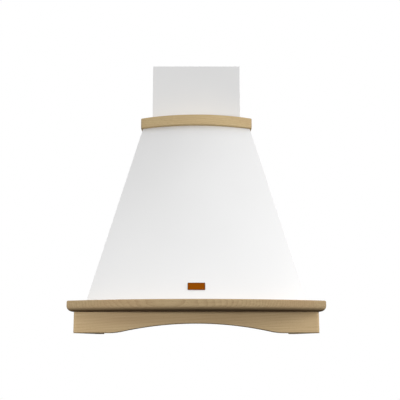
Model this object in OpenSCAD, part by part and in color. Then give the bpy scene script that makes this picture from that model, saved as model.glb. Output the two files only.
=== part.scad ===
// Wall-hung kitchen range hood: a white sheet-steel canopy with a bowed front on a beech base.
// Inside are a blower with its motor, a check valve, two drop-down grease filters, two lamps
// and a row of push buttons. The chimney cover has an inner section that slides up.
// The origin is on the wall plane, at the centre of the four hanging holes.
// X points right, Z points up, and the front faces -Y. Sizes are in millimetres.

/* [General] */
// Height of the hanging-hole centre above the lower edge of the skirt
hang_h = 330; // [300:5:345]
// Thickness of the cover sheets
sheet_t = 1; // [0.8:0.1:1.2]
// Thickness of the carrying plates
plate_t = 2; // [1.6:0.1:2.4]
// Gap around a piece that is fitted between others
fit_gap = 0.3; // [0.2:0.05:0.4]
// Gap beside a piece that slides or swings
run_gap = 0.6; // [0.4:0.1:0.8]
// Radial play of a pin or shaft in its bore
pin_play = 0.05; // [0.03:0.01:0.08]

/* [Wooden skirt] */
// Height of the skirt boards
skirt_h = 49; // [46:1:60]
// How far the skirt's sides stand outside the cornice's opening
skirt_side = 46; // [42:1:50]
// How far the skirt's front stands forward of the cornice's opening
skirt_front = 44; // [40:1:48]
// Thickness of the skirt boards
board_t = 20; // [16:1:22]
// Rounding of the two front corners of the skirt
skirt_corner_r = 6; // [2:1:10]
// Rise of the arch cut in the front board
arch_rise = 22; // [16:1:26]
// Radius of the arch
arch_r = 820; // [700:10:1000]
// Radius that blends the arch into the straight lower edge
arch_blend_r = 150; // [60:10:200]
// Legs of the glue blocks in the corners
block_leg = 34; // [24:1:38]
// Gap between the glue blocks and the rim of the bottom panel
block_gap = 5; // [1:0.5:12]
// Height of the glue blocks' feet above the lower edge of the skirt
block_up = 2; // [0:0.5:4]

/* [Cornice] */
// Height of the cornice boards
cornice_h = 25; // [22:1:30]
// Overhang of the cornice over the sides of the skirt
cornice_side_over = 14; // [8:1:20]
// Overhang of the cornice's two front corners over the skirt
cornice_front_over = 16; // [10:1:24]
// How far the front of the cornice bows out between its corners
cornice_bow = 80; // [70:1:90]
// Radius of the rounded lower edge
cornice_round = 13; // [8:1:14]
// Room beside the filters inside the cornice
opening_side = 3.4; // [2:0.1:6]
// Room in front of the lamps inside the cornice
opening_front = 10; // [4:0.5:14]

/* [Canopy] */
// Height of the canopy between cornice and collar
shell_h = 468; // [430:1:500]
// How far the canopy's foot stands outside the cornice's opening at the sides
shell_side = 18.5; // [16:0.5:20]
// How far the middle of the canopy's foot stands forward of the cornice's opening
shell_front = 100; // [94:1:106]
// How far the canopy's top stands outside the chimney cover at the sides
shoulder_side = 25; // [22:1:28]
// How far the middle of the canopy's top stands forward of the chimney cover
shoulder_front = 45; // [40:1:50]
// How far the front of the canopy bows out at its foot
shell_bow = 65; // [55:1:70]
// Width of the turned-in edges of the canopy sheet
shell_flange = 14; // [10:1:15]
// Width of the nameplate
nameplate_w = 40; // [30:1:50]
// Height of the nameplate, measured upright
nameplate_h = 17; // [12:1:22]
// Height of the nameplate's middle above the cornice
nameplate_up = 31; // [20:1:60]
// Thickness of the nameplate
nameplate_t = 1.2; // [0.8:0.1:2]
// Rounding of the nameplate's corners
nameplate_corner_r = 1.5; // [1:0.1:3]

/* [Collar] */
// Height of the collar boards
collar_h = 27; // [22:1:32]
// Overhang of the collar over the sides of the canopy
collar_side_over = 5; // [4:0.5:8]
// Overhang of the collar over the middle of the canopy's front
collar_front_over = 12; // [10:0.5:16]
// How far the front of the collar bows out between its corners
collar_bow = 37; // [32:1:42]
// Rounding of the two front corners of the collar
collar_corner_r = 8; // [4:1:12]
// Joint gap between the collar and the chimney cover
collar_gap = 0.5; // [0.3:0.1:0.8]

/* [Chimney] */
// Room beside the cable gland inside the chimney
chimney_side = 4.4; // [2:0.2:8]
// Room behind the duct's flange and in front of it
chimney_back = 28; // [24:1:34]
// Height of the chimney cover above the collar
chimney_show = 156; // [130:1:220]
// Width of the turned-in edges at the wall
chimney_return = 16; // [12:1:20]
// How far the inner section lies below the rim of the outer one at rest
chimney_inset = 3; // [2:1:6]
// Distance between the two screw holes of the chimney bracket
chimney_hole_pitch = 120; // [100:5:140]
// Radius of the two screw holes of the chimney bracket
chimney_hole_r = 3.2; // [2.5:0.1:4]
// Height of the chimney bracket
chimney_strip_h = 24; // [20:1:30]
// Distance of the chimney bracket below the rim of the cover
chimney_strip_down = 24; // [16:1:40]

/* [Hanging] */
// Distance between the hanging holes, sideways
hang_pitch_x = 200; // [180:5:220]
// Distance between the hanging holes, upright
hang_pitch_z = 300; // [280:5:320]
// Radius of the hanging holes
hang_hole_r = 4.5; // [4:0.1:5.5]
// Radius of the cable gland's thread
gland_r = 8; // [6:0.5:9]
// Radius of the cable gland's bore
gland_bore_r = 4; // [3:0.5:5]
// How much further than its thread the gland's nut reaches out
gland_nut_rim = 3; // [2:0.5:3.5]
// Height of the gland's nut and of its hexagon
gland_nut_h = 5; // [4:0.5:8]
// Height of the gland's tapered cap
gland_cap_h = 8; // [5:0.5:12]
// How far the gland's thread reaches past its nut
gland_thread_end = 3; // [1:0.5:6]
// Gap between the gland's nut and the flange of the blower's neck
gland_gap = 2; // [1:0.5:3]
// Distance of the cable gland from the wall
gland_y = 30; // [26:1:34]

/* [Duct] */
// Outer radius of the duct spigot
duct_r = 74.5; // [73:0.5:76]
// Height of the spigot above its flange
duct_h = 64; // [50:1:80]
// Width of the spigot's flange
duct_flange = 15; // [13:1:17]
// Thickness of the spigot's flange
duct_flange_t = 1.5; // [1:0.1:2.5]
// Radius of the pin that carries the two valve flaps
flap_pin_r = 2; // [1.5:0.1:2.5]
// Height of the flap pin above the spigot's flange
flap_up = 29; // [24:1:34]
// Thickness of the flaps
flap_t = 1.2; // [1:0.1:1.6]
// Wall of the knuckles round the flap pin
flap_knuckle_wall = 2; // [1.5:0.1:2.4]
// Length of each flap knuckle
flap_knuckle_l = 20; // [14:1:22]
// Radius of the two bosses that hold the flap pin
flap_boss_r = 5; // [4.5:0.1:6]
// Length of the two bosses that hold the flap pin
flap_boss_l = 6; // [4:0.5:8]
// Width of the stop ring under the flaps
flap_stop_w = 3; // [2:0.5:5]
// Thickness of the stop ring under the flaps
flap_stop_t = 1.5; // [1:0.1:2]

/* [Blower] */
// Depth of the impeller axis below the top plate
blower_drop = 234; // [220:1:250]
// Room between the impeller and the narrowest part of the scroll
scroll_room = 23; // [18:1:28]
// How much each quarter of the scroll widens
scroll_step = 10; // [6:1:12]
// How much wider than the duct's bore the scroll's neck is, on each side
neck_over = 1.5; // [1:0.1:3]
// Width of the neck's flange under the top plate
neck_flange = 13; // [12:0.5:14]
// Radius of the impeller
impeller_r = 82; // [76:1:86]
// Gap between the impeller and the inlet rings
impeller_gap = 3; // [2:0.5:6]
// Radial depth of the impeller blades
blade_d = 13; // [10:0.5:16]
// Thickness of the impeller blades
blade_t = 1; // [0.8:0.1:1.4]
// Number of impeller blades
blade_count = 32; // [20:1:40]
// Lean of the impeller blades, in degrees
blade_lean = 35; // [20:1:45]
// How much smaller than the impeller's eye the two air inlets are
inlet_inset = 3; // [2:0.5:8]
// Depth of the inlet rings
inlet_lip = 7; // [4:0.5:8]
// Thickness of the impeller's two end rings
impeller_ring_t = 1.5; // [1:0.1:2.5]
// Radius of the motor
motor_r = 44; // [38:1:48]
// Length of the motor
motor_l = 70; // [60:1:74]
// How much narrower than the motor its end caps are
motor_cap_step = 3; // [2:0.5:5]
// Length of the motor's end caps
motor_cap_l = 6; // [4:0.5:10]
// Depth of the screw holes in the motor's end
motor_hole_l = 8; // [6:0.5:10]
// Distance of the shaft's inner end from the motor's outer end
motor_shaft_in = 12; // [11:0.5:16]
// Radius of the motor shaft
shaft_r = 4; // [3:0.5:5]
// Radius of the impeller's hub
hub_r = 14; // [10:1:18]
// Length of the impeller's hub
hub_l = 20; // [16:1:26]
// Gap between the hub and the motor
hub_gap = 1; // [0.6:0.1:2]
// Distance of the impeller's disc from the hub's inner end
hub_disc = 8; // [4:1:12]
// How far the shaft stands out of the hub
shaft_end = 2; // [1:0.5:5]
// Width of the motor bracket's arms
bracket_arm_w = 16; // [12:1:20]
// How far the motor bracket's arms reach past the inlet
bracket_reach = 12; // [10:1:14]
// Radius of the capacitor
capacitor_r = 17; // [14:1:20]
// Length of the capacitor
capacitor_l = 58; // [50:1:70]
// Width of the capacitor's clip beside it
capacitor_clip_w = 6; // [4:0.5:8]
// Height of the capacitor's clip
capacitor_clip_h = 14; // [10:1:20]
// Width of the terminal box
terminal_w = 70; // [60:1:80]
// Depth of the terminal box
terminal_d = 30; // [24:1:40]
// Height of the terminal box
terminal_h = 46; // [36:1:60]
// Radius of the lead hole in the terminal box
terminal_hole_r = 6; // [4:0.5:8]
// Gap between the capacitor's clip and the hanging holes, sideways
side_gap = 6.5; // [3:0.5:12]
// Depth of their lower ends below the impeller's axis
side_drop = 60; // [40:1:80]

/* [Filters] */
// Width of a grease filter
filter_w = 224; // [216:1:225]
// Length of a grease filter from back to front
filter_d = 268; // [250:1:272]
// Height of the filter frame
filter_h = 9; // [8:1:12]
// Width of the filter frame's bars
filter_bar = 10; // [8:1:14]
// Width of the panel between the two filters
filter_between = 14; // [14:1:18]
// Distance of the filters from the wall
filter_back = 24; // [22:1:28]
// Thickness of the filter frame's lips
lip_t = 1; // [0.8:0.1:1.4]
// Width of the lips at the sides of a filter
lip_side = 5; // [4:0.5:6]
// Width of the lip at the front of a filter
lip_front = 13; // [12:1:14]
// Radius of the hinge pins
hinge_pin_r = 2; // [1.5:0.1:2.2]
// Distance of the hinge axis behind the filter
hinge_back = 6; // [5:0.5:8]
// How far a hinge pin stands out of its lugs
hinge_pin_end = 1; // [0.5:0.1:2]
// Radius of the hinge knuckles
hinge_knuckle_r = 4; // [3.6:0.1:4.4]
// Length of the hinge knuckles
hinge_knuckle_l = 14; // [10:1:20]
// Distance of each hinge from the side of its filter
hinge_inset = 24; // [18:1:40]
// Width of the filter's pull
pull_w = 60; // [40:1:90]
// Height of the filter's pull
pull_h = 7; // [5:0.5:9]
// Thickness of the grip of the filter's pull
pull_t = 3; // [2:0.5:4]
// Radius of the holding magnets
magnet_r = 5; // [4:0.5:6]
// Thickness of the holding magnets
magnet_t = 3; // [2:0.5:4]
// Distance of the holding magnets from the middle of their filter
magnet_x = 80; // [60:5:95]

/* [Panel and lamps] */
// Depth of the turned-down rim of the bottom panel
panel_rim = 12; // [8:1:14]
// Gap between the filters and the lamps' bezels
lamp_gap = 2; // [1:0.5:5]
// Distance of each lamp from the middle
lamp_x = 150; // [130:5:190]
// Radius of the lamp hole in the panel
lamp_r = 29; // [24:1:32]
// Width of the lamp bezel's flange outside the hole
bezel_flange = 5; // [3:0.5:6]
// Thickness of the lamp bezel's flange
bezel_t = 1.5; // [1:0.1:2]
// How far the bezel's sleeve reaches above the lens
bezel_sleeve = 6; // [3:0.5:12]
// Thickness of the lamp lens
lens_t = 2; // [1.5:0.1:3]
// Width of the rim that carries the lens
lens_seat = 2; // [1.5:0.1:4]
// Height of the lamp housing
lamp_h = 28; // [20:1:40]

/* [Controls] */
// Distance between the buttons
button_pitch = 24; // [20:1:26]
// Width of a button
button_w = 11; // [9:0.5:13]
// Travel of a button
button_travel = 2.5; // [1.5:0.1:2.5]
// How far a pressed button still stands below its plate
button_left = 0.5; // [0.2:0.1:1.5]
// Width of the shoulder that keeps a button in
button_shoulder = 1.6; // [1:0.1:2]
// Length of a button's stem
button_stem = 6; // [4:0.5:8]
// Radius of a button's stem
button_stem_r = 2; // [1.5:0.1:3]
// Thickness of the button plate
control_t = 1.5; // [1:0.1:2.5]
// Depth of the button plate from back to front
control_d = 30; // [26:1:34]
// How far the button plate reaches past the row of buttons
control_end = 6; // [4:0.5:10]
// Height of the switch box
control_h = 24; // [22:1:30]
// Height of the space for the buttons in the switch box
control_space = 13; // [12:0.5:15]
// Wall of the switch box and the terminal box
box_wall = 2; // [1.6:0.1:3]

/* [Screws] */
// Radius of a screw's shank
screw_r = 1.8; // [1.4:0.1:2]
// Radius of a screw's head
screw_head_r = 3.6; // [3.2:0.1:4]
// Height of a screw's head
screw_head_h = 1.8; // [1.4:0.1:2.2]
// Length of a wood screw below its head
screw_l = 16; // [12:1:18]
// How far a screw stands out of a sheet, or ends short of a blind hole
screw_end = 2; // [1:0.5:3]
// Height of a nut
nut_h = 2.4; // [2:0.1:3]
// Distance of the first side screw from the wall
side_screw_first = 60; // [40:5:70]
// Distance between the side screws
side_screw_pitch = 140; // [120:5:140]
// Distance of the outer front screws from the middle
front_screw_x = 160; // [120:5:180]

/* [Hidden] */
$fn = 72;
// Number of push buttons, one sub-part each
button_count = 5;
// Turns of the motor bracket's three arms
arm_turns = [0:120:240];
// Facets of the bowed faces, which have large radii
bow_fn = 288;
// Steps along the arch and along each of its two blends
arch_steps = 40;
blend_steps = 8;
// Overrun of a cut past the face it opens
cut = 1;
// Length that reaches past the whole hood
far = 900;

wood_colour = "#b79f7b";
white_colour = "#f1f1ef";
steel_colour = "#b9bcbe";
zinc_colour = "#9da1a4";
plastic_colour = "#2b2c2e";
copper_colour = "#914907";
button_colour = "#d6d6d2";
lens_colour = [0.93, 0.95, 0.96, 0.6];

// Plan of the chimney, from the duct outwards
duct_bore_r = duct_r - sheet_t;
neck_w = 2 * (duct_bore_r + neck_over);
duct_bolt_r = (neck_w + neck_flange) / 2;
gland_nut_r = gland_r + gland_nut_rim;
gland_x = neck_w / 2 + neck_flange + gland_gap + gland_nut_r;
chimney_w = 2 * (gland_x + gland_nut_r + chimney_side + 2 * sheet_t + run_gap);
chimney_d = 2 * (duct_r + duct_flange + chimney_back);
duct_y = chimney_d / 2;

// The canopy's top and the collar, around the chimney
shell_top_w = chimney_w + 2 * shoulder_side;
shell_top_d = chimney_d + shoulder_front;
collar_w = shell_top_w + 2 * collar_side_over;
collar_d = shell_top_d + collar_front_over - collar_bow;

// Plan of the underside: the lamps and the row of buttons stand in one line before the filters
filter_x = filter_between / 2 + run_gap + filter_w / 2;
lamp_y = filter_back + filter_d + lip_front + lamp_gap + bezel_flange + lamp_r;
button_row = (button_count - 1) * button_pitch / 2 + button_w / 2 + button_shoulder;

// The wooden base and the canopy's foot, around the filters and the lamps
cornice_inner_w = 2 * (filter_x + filter_w / 2 + lip_side + opening_side);
cornice_inner_d = lamp_y + lamp_r + opening_front;
skirt_w = cornice_inner_w + 2 * skirt_side;
skirt_d = cornice_inner_d + skirt_front;
cornice_w = skirt_w + 2 * cornice_side_over;
cornice_d = skirt_d + cornice_front_over;
shell_bottom_w = cornice_inner_w + 2 * shell_side;
shell_bottom_d = cornice_inner_d + shell_front;

// Heights of the main levels
base_z = -hang_h;
cornice_z = base_z + skirt_h;
shell_z = cornice_z + cornice_h;
collar_z = shell_z + shell_h;
deck_z = collar_z - sheet_t;
top_under_z = deck_z - plate_t;
chimney_top_z = collar_z + collar_h + chimney_show;

// The canopy's front is a cone, whose axis is upright and just behind the wall
shell_r_foot = (pow(shell_bottom_w / 2, 2) + pow(shell_bow, 2)) / (2 * shell_bow);
shell_axis_y = shell_r_foot - shell_bottom_d;
shell_r_top = shell_top_d + shell_axis_y;
function shell_half(z) = (shell_bottom_w + (shell_top_w - shell_bottom_w) * (z - shell_z) / shell_h) / 2;
function shell_r(z) = shell_r_foot + (shell_r_top - shell_r_foot) * (z - shell_z) / shell_h;

// The cornice and the collar bow out along circles
cornice_r = (pow(cornice_w / 2, 2) + pow(cornice_bow, 2)) / (2 * cornice_bow);
cornice_axis_y = cornice_r - cornice_d - cornice_bow;
collar_r = (pow(collar_w / 2, 2) + pow(collar_bow, 2)) / (2 * collar_bow);
collar_axis_y = collar_r - collar_d - collar_bow;

flap_pin_z = deck_z + duct_flange_t + flap_up;
flap_pin_l = 2 * (duct_bore_r - sheet_t);

// Sizes of the scroll and the impeller, and the centres of the scroll's three quarters
scroll_w = neck_w - 2 * sheet_t;
scroll_r = impeller_r + scroll_room;
impeller_w = scroll_w - 2 * (inlet_lip + impeller_gap);
inlet_r = impeller_r - blade_d - inlet_inset;
axis_z = top_under_z - blower_drop;
scroll_rear_y = duct_y - neck_w / 2;
bottom_y = scroll_rear_y + scroll_r + 2 * scroll_step;
front_y = bottom_y + scroll_step;
impeller_y = (bottom_y + front_y) / 2;
motor_end_x = scroll_w / 2 + sheet_t;
motor_bolt_r = motor_r / 2;
hub_x0 = motor_l - motor_end_x + hub_gap;
shaft_x0 = motor_shaft_in - motor_end_x;
side_x = hang_pitch_x / 2 + hang_hole_r + side_gap + capacitor_clip_w + capacitor_r;
side_z = axis_z - side_drop;

panel_z = cornice_z - sheet_t;
block_h = skirt_h - panel_rim - block_up - block_gap;
lip_z = panel_z - fit_gap - lip_t;
filter_ledge = filter_bar / 2;
hinge_y = filter_back - hinge_back;
hinge_z = panel_z - run_gap - hinge_knuckle_r;
hinge_span = hinge_knuckle_l + 2 * (run_gap + plate_t);
magnet_y = filter_back + filter_d + run_gap + lip_front / 2;
bezel_z = panel_z - bezel_t;
lens_r = lamp_r - 2 * fit_gap - sheet_t;
control_z = panel_z - control_t;

// Bodies that more than one piece is cut from

// The canopy's form, taken in by inset at the sides and the front, between two heights
module canopy_form(inset, back, z_low, z_high) {
  intersection() {
    canopy_cone(-inset, z_low, z_high);
    canopy_prism(inset, back, far, z_low - cut, z_high + cut);
  }
}

// The cone that the front lies on, grown by grow
module canopy_cone(grow, z_low, z_high) {
  translate([0, shell_axis_y, z_low])
    cylinder(h = z_high - z_low, r1 = shell_r(z_low) + grow, r2 = shell_r(z_high) + grow, $fn = bow_fn);
}

// The trapezium between the canopy's sloping sides, from one distance from the wall to another
module canopy_prism(inset, back, front, z_low, z_high) {
  low = shell_half(z_low) - inset;
  high = shell_half(z_high) - inset;
  translate([0, -back, 0])
    rotate([90, 0, 0])
      linear_extrude(height = front - back)
        polygon([[-low, z_low], [low, z_low], [high, z_high], [-high, z_high]]);
}

// A box between two distances from the wall
module wall_box(x0, x1, back, front, z0, z1) {
  translate([min(x0, x1), -front, z0]) cube([abs(x1 - x0), front - back, z1 - z0]);
}

// A screw whose head lies in z >= 0 and whose shank points down
module screw(length) {
  cylinder(h = screw_head_h, r = screw_head_r);
  translate([0, 0, -length]) cylinder(h = length + screw_head_h / 2, r = screw_r);
}

module screw_hole(length) {
  translate([0, 0, -length - cut]) cylinder(h = length + 2 * cut, r = screw_r + pin_play);
}

// Wooden skirt

// Points along an arc in the plane, from one angle towards another, without the last one
function arc_points(centre, r, from, to, steps) =
  [for (i = [0:steps - 1]) let (a = from + (to - from) * i / steps) centre + r * [cos(a), sin(a)]];

// The arch, with a blend at each end, as an outline that is open below
module arch_plan() {
  crown_z = base_z + arch_rise - arch_r;
  blend_z = base_z + arch_blend_r;
  blend_x = sqrt(pow(arch_r + arch_blend_r, 2) - pow(blend_z - crown_z, 2));
  touch = acos(blend_x / (arch_r + arch_blend_r));
  polygon(concat(
    [[-blend_x, base_z - cut], [blend_x, base_z - cut]],
    arc_points([blend_x, blend_z], arch_blend_r, 270, 180 + touch, blend_steps),
    arc_points([0, crown_z], arch_r, touch, 180 - touch, arch_steps),
    arc_points([-blend_x, blend_z], arch_blend_r, -touch, -90, blend_steps),
    [[-blend_x, base_z]]));
}

module valance_front() {
  half = skirt_w / 2;
  r = skirt_corner_r;
  color(wood_colour)
    difference() {
      translate([0, 0, base_z])
        linear_extrude(height = skirt_h) {
          translate([-half + r, -skirt_d]) square([skirt_w - 2 * r, board_t]);
          translate([-half, -skirt_d + r]) square([skirt_w, board_t - r]);
          for (s = [-1, 1])
            translate([s * (half - r), -skirt_d + r]) circle(r);
        }
      translate([0, -skirt_d + board_t + cut, 0])
        rotate([90, 0, 0])
          linear_extrude(height = board_t + 2 * cut) arch_plan();
    }
}

module skirt_side(side) {
  color(wood_colour)
    difference() {
      wall_box(side * skirt_w / 2, side * (skirt_w / 2 - board_t), 0, skirt_d - board_t, base_z, cornice_z);
      panel_screw_places(side) screw_hole(screw_l);
    }
}

module skirt_left() {
  skirt_side(-1);
}

module skirt_right() {
  skirt_side(1);
}

// Three-cornered glue blocks where the side boards meet the front board
module corner_blocks() {
  x = skirt_w / 2 - board_t;
  y = skirt_d - board_t;
  color(wood_colour)
    for (s = [-1, 1])
      translate([0, 0, base_z + block_up])
        linear_extrude(height = block_h)
          polygon([[s * x, -y], [s * (x - block_leg), -y], [s * x, -y + block_leg]]);
}

// Cornice

// Upright profile of a cornice board, with its outer face at x = 0 and a rounded lower edge
module cornice_profile(width) {
  r = cornice_round;
  translate([-width, r]) square([width, cornice_h - r]);
  translate([-width, 0]) square([width - r, cornice_h]);
  intersection() {
    translate([-r, r]) circle(r);
    translate([-r, 0]) square(r);
  }
}

// Plan of the front board between the two mitres
module cornice_mitre_plan() {
  half_angle = (90 + asin(cornice_w / 2 / cornice_r)) / 2;
  reach = 30;
  x = cornice_w / 2 + reach * sin(half_angle);
  y = cornice_d + reach * cos(half_angle);
  meet_y = cornice_d - cornice_w / 2 * cos(half_angle) / sin(half_angle);
  polygon([[0, -meet_y], [x, -y], [x, -far], [-x, -far], [-x, -y]]);
}

module cornice_front() {
  depth = cornice_d + cornice_bow - cornice_inner_d;
  color(wood_colour)
    difference() {
      intersection() {
        translate([0, cornice_axis_y, cornice_z])
          rotate_extrude($fn = bow_fn)
            translate([cornice_r, 0]) cornice_profile(depth + cornice_bow);
        translate([0, 0, cornice_z - cut])
          linear_extrude(height = cornice_h + 2 * cut) cornice_mitre_plan();
        wall_box(-far, far, cornice_inner_d, far, cornice_z - cut, shell_z + cut);
      }
      canopy_screw_places() screw_hole(screw_l);
    }
}

module cornice_side(side) {
  color(wood_colour)
    difference() {
      rotate([90, 0, 0])
        linear_extrude(height = cornice_d + cornice_bow)
          mirror([side < 0 ? 1 : 0, 0])
            translate([cornice_w / 2, cornice_z]) cornice_profile(cornice_w / 2);
      translate([0, 0, cornice_z - cut])
        linear_extrude(height = cornice_h + 2 * cut) cornice_mitre_plan();
      wall_box(-cornice_inner_w / 2, cornice_inner_w / 2, -cut, cornice_inner_d,
        cornice_z - cut, shell_z + cut);
      canopy_screw_places() screw_hole(screw_l);
    }
}

module cornice_left() {
  cornice_side(-1);
}

module cornice_right() {
  cornice_side(1);
}

// Collar

// Plan of a board frame whose front bows out and whose two front corners are rounded
module collar_plan() {
  half = collar_w / 2;
  r = collar_corner_r;
  turn = asin((half - r) / (collar_r - r));
  corner_y = collar_axis_y - (collar_r - r) * cos(turn);
  intersection() {
    translate([0, collar_axis_y]) circle(collar_r, $fn = bow_fn);
    polygon([[0, collar_axis_y], [far * sin(turn), collar_axis_y - far * cos(turn)],
      [-far * sin(turn), collar_axis_y - far * cos(turn)]]);
    translate([-far, -far]) square([2 * far, far]);
  }
  translate([-half, corner_y]) square([collar_w, -corner_y]);
  for (s = [-1, 1])
    translate([s * (half - r), corner_y]) circle(r);
}

module collar_front() {
  inner_y = chimney_d + collar_gap;
  color(wood_colour)
    translate([0, 0, collar_z])
      linear_extrude(height = collar_h)
        intersection() {
          collar_plan();
          translate([-far, -far]) square([2 * far, far - inner_y]);
        }
}

module collar_side(side) {
  color(wood_colour)
    wall_box(side * (chimney_w / 2 + collar_gap), side * collar_w / 2, 0, chimney_d + collar_gap,
      collar_z, collar_z + collar_h);
}

module collar_left() {
  collar_side(-1);
}

module collar_right() {
  collar_side(1);
}

// Canopy

// The cover sheet, with edges turned in at the foot, the top and the wall
module body_shell() {
  lip = sheet_t + shell_flange;
  color(white_colour)
    difference() {
      canopy_form(0, 0, shell_z, collar_z);
      canopy_form(sheet_t, plate_t + sheet_t, shell_z + sheet_t, collar_z - sheet_t);
      canopy_form(lip, -cut, shell_z - cut, collar_z + cut);
      canopy_prism(sheet_t, -cut, plate_t, shell_z - cut, collar_z + cut);
      canopy_screw_places() screw_hole(screw_l);
    }
}

// The carrying plate at the wall, with the four hanging holes
module back_plate() {
  foot = cornice_inner_w / 2 - fit_gap;
  color(zinc_colour)
    difference() {
      union() {
        canopy_prism(sheet_t + fit_gap, 0, plate_t, shell_z, deck_z);
        wall_box(-foot, foot, 0, plate_t, cornice_z, shell_z + cut);
      }
      for (x = [-1, 1], z = [-1, 1])
        translate([x * hang_pitch_x / 2, cut, z * hang_pitch_z / 2])
          rotate([90, 0, 0]) cylinder(h = plate_t + 2 * cut, r = hang_hole_r);
    }
}

// The plate under the collar, which carries the blower and the duct spigot
module top_plate() {
  color(zinc_colour)
    difference() {
      canopy_form(sheet_t + fit_gap, plate_t + sheet_t + fit_gap, top_under_z, deck_z);
      translate([0, -duct_y, top_under_z - cut]) cylinder(h = plate_t + 2 * cut, r = duct_bore_r);
      translate([gland_x, -gland_y, top_under_z - cut])
        cylinder(h = plate_t + 2 * cut, r = gland_r + pin_play);
      duct_screw_places() screw_hole(screw_l);
    }
}

// A bare metal plate that follows the canopy's front
module nameplate() {
  r = nameplate_corner_r;
  color(copper_colour)
    intersection() {
      difference() {
        canopy_cone(nameplate_t, shell_z, shell_z + nameplate_up + nameplate_h);
        canopy_cone(0, shell_z - cut, shell_z + nameplate_up + nameplate_h + cut);
      }
      translate([0, -shell_top_d, shell_z + nameplate_up])
        rotate([90, 0, 0])
          linear_extrude(height = shell_bottom_d) {
            square([nameplate_w - 2 * r, nameplate_h], center = true);
            square([nameplate_w, nameplate_h - 2 * r], center = true);
            for (x = [-1, 1], y = [-1, 1])
              translate([x * (nameplate_w / 2 - r), y * (nameplate_h / 2 - r)]) circle(r);
          }
    }
}

// Chimney

// Plan of a cover that is open at the wall, with its edges turned in there
module cover_plan(width, front, back, turn_in) {
  difference() {
    translate([-width / 2, -front]) square([width, front - back]);
    translate([-width / 2 + sheet_t, -front + sheet_t])
      square([width - 2 * sheet_t, front - back - 2 * sheet_t]);
    translate([-width / 2 + turn_in, -back - 2 * sheet_t]) square([width - 2 * turn_in, 3 * sheet_t]);
  }
}

module chimney_outer() {
  color(white_colour)
    translate([0, 0, deck_z])
      linear_extrude(height = chimney_top_z - deck_z) cover_plan(chimney_w, chimney_d, 0, chimney_return);
}

// The inner section, which stands on the top plate and slides up inside the outer one
module chimney_inner() {
  side = sheet_t + run_gap;
  back = sheet_t + plate_t + run_gap;
  foot_z = deck_z + fit_gap;
  color(white_colour)
    translate([0, 0, foot_z])
      linear_extrude(height = chimney_top_z - chimney_inset - foot_z)
        cover_plan(chimney_w - 2 * side, chimney_d - side, back, chimney_return);
}

// Cranked strip that ties the edges of the outer cover to the wall
module chimney_strip() {
  reach = chimney_w / 2 - sheet_t - fit_gap;
  middle = chimney_w / 2 - chimney_return - fit_gap;
  z0 = chimney_top_z - chimney_strip_down - chimney_strip_h;
  color(zinc_colour)
    difference() {
      union() {
        wall_box(-reach, reach, sheet_t, sheet_t + plate_t, z0, z0 + chimney_strip_h);
        wall_box(-middle, middle, 0, sheet_t + plate_t, z0, z0 + chimney_strip_h);
      }
      for (s = [-1, 1])
        translate([s * chimney_hole_pitch / 2, cut, z0 + chimney_strip_h / 2])
          rotate([90, 0, 0]) cylinder(h = sheet_t + plate_t + 2 * cut, r = chimney_hole_r);
    }
}

// Underside

module hinge_places() {
  for (s = [-1, 1], e = [-1, 1])
    translate([s * filter_x + e * (filter_w / 2 - hinge_inset), -hinge_y, hinge_z])
      rotate([0, 90, 0]) children();
}

// Sheet panel under the cornice, with a turned-down rim, filter openings and hinge lugs
module bottom_panel() {
  half = skirt_w / 2 - board_t - fit_gap;
  front = skirt_d - board_t - fit_gap;
  slot_x = button_row + run_gap;
  slot_y = button_w / 2 + button_shoulder + run_gap;
  color(steel_colour)
    difference() {
      union() {
        difference() {
          wall_box(-half, half, fit_gap, front, cornice_z - panel_rim, cornice_z);
          wall_box(-half + sheet_t, half - sheet_t, fit_gap + sheet_t, front - sheet_t,
            cornice_z - panel_rim - cut, panel_z);
        }
        for (s = [-1, 1], e = [-1, 1], side = [-1, 1])
          hinge_lug(s * filter_x + e * (filter_w / 2 - hinge_inset), side);
      }
      for (s = [-1, 1])
        wall_box(s * filter_x - filter_w / 2 - run_gap, s * filter_x + filter_w / 2 + run_gap,
          filter_back - run_gap, filter_back + filter_d + run_gap, panel_z - cut, cornice_z + cut);
      for (s = [-1, 1])
        translate([s * lamp_x, -lamp_y, panel_z - cut]) cylinder(h = sheet_t + 2 * cut, r = lamp_r);
      wall_box(-slot_x, slot_x, lamp_y - slot_y, lamp_y + slot_y, panel_z - cut, cornice_z + cut);
      hinge_places() cylinder(h = hinge_span + 2 * cut, r = hinge_pin_r + pin_play, center = true);
      for (s = [-1, 1])
        panel_screw_places(s) screw_hole(screw_l);
    }
}

module hinge_lug(x, side) {
  x0 = x + side * (hinge_knuckle_l / 2 + run_gap);
  wall_box(x0, x0 + side * plate_t, hinge_y - hinge_knuckle_r, hinge_y + hinge_knuckle_r,
    hinge_z - hinge_knuckle_r, panel_z + sheet_t / 2);
}

module hinge_pins() {
  color(zinc_colour)
    hinge_places() cylinder(h = hinge_span + 2 * hinge_pin_end, r = hinge_pin_r, center = true);
}

module filter_magnets() {
  color(plastic_colour)
    for (s = [-1, 1], e = [-1, 1])
      translate([s * filter_x + e * magnet_x, -magnet_y, cornice_z]) cylinder(h = magnet_t, r = magnet_r);
}

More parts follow.
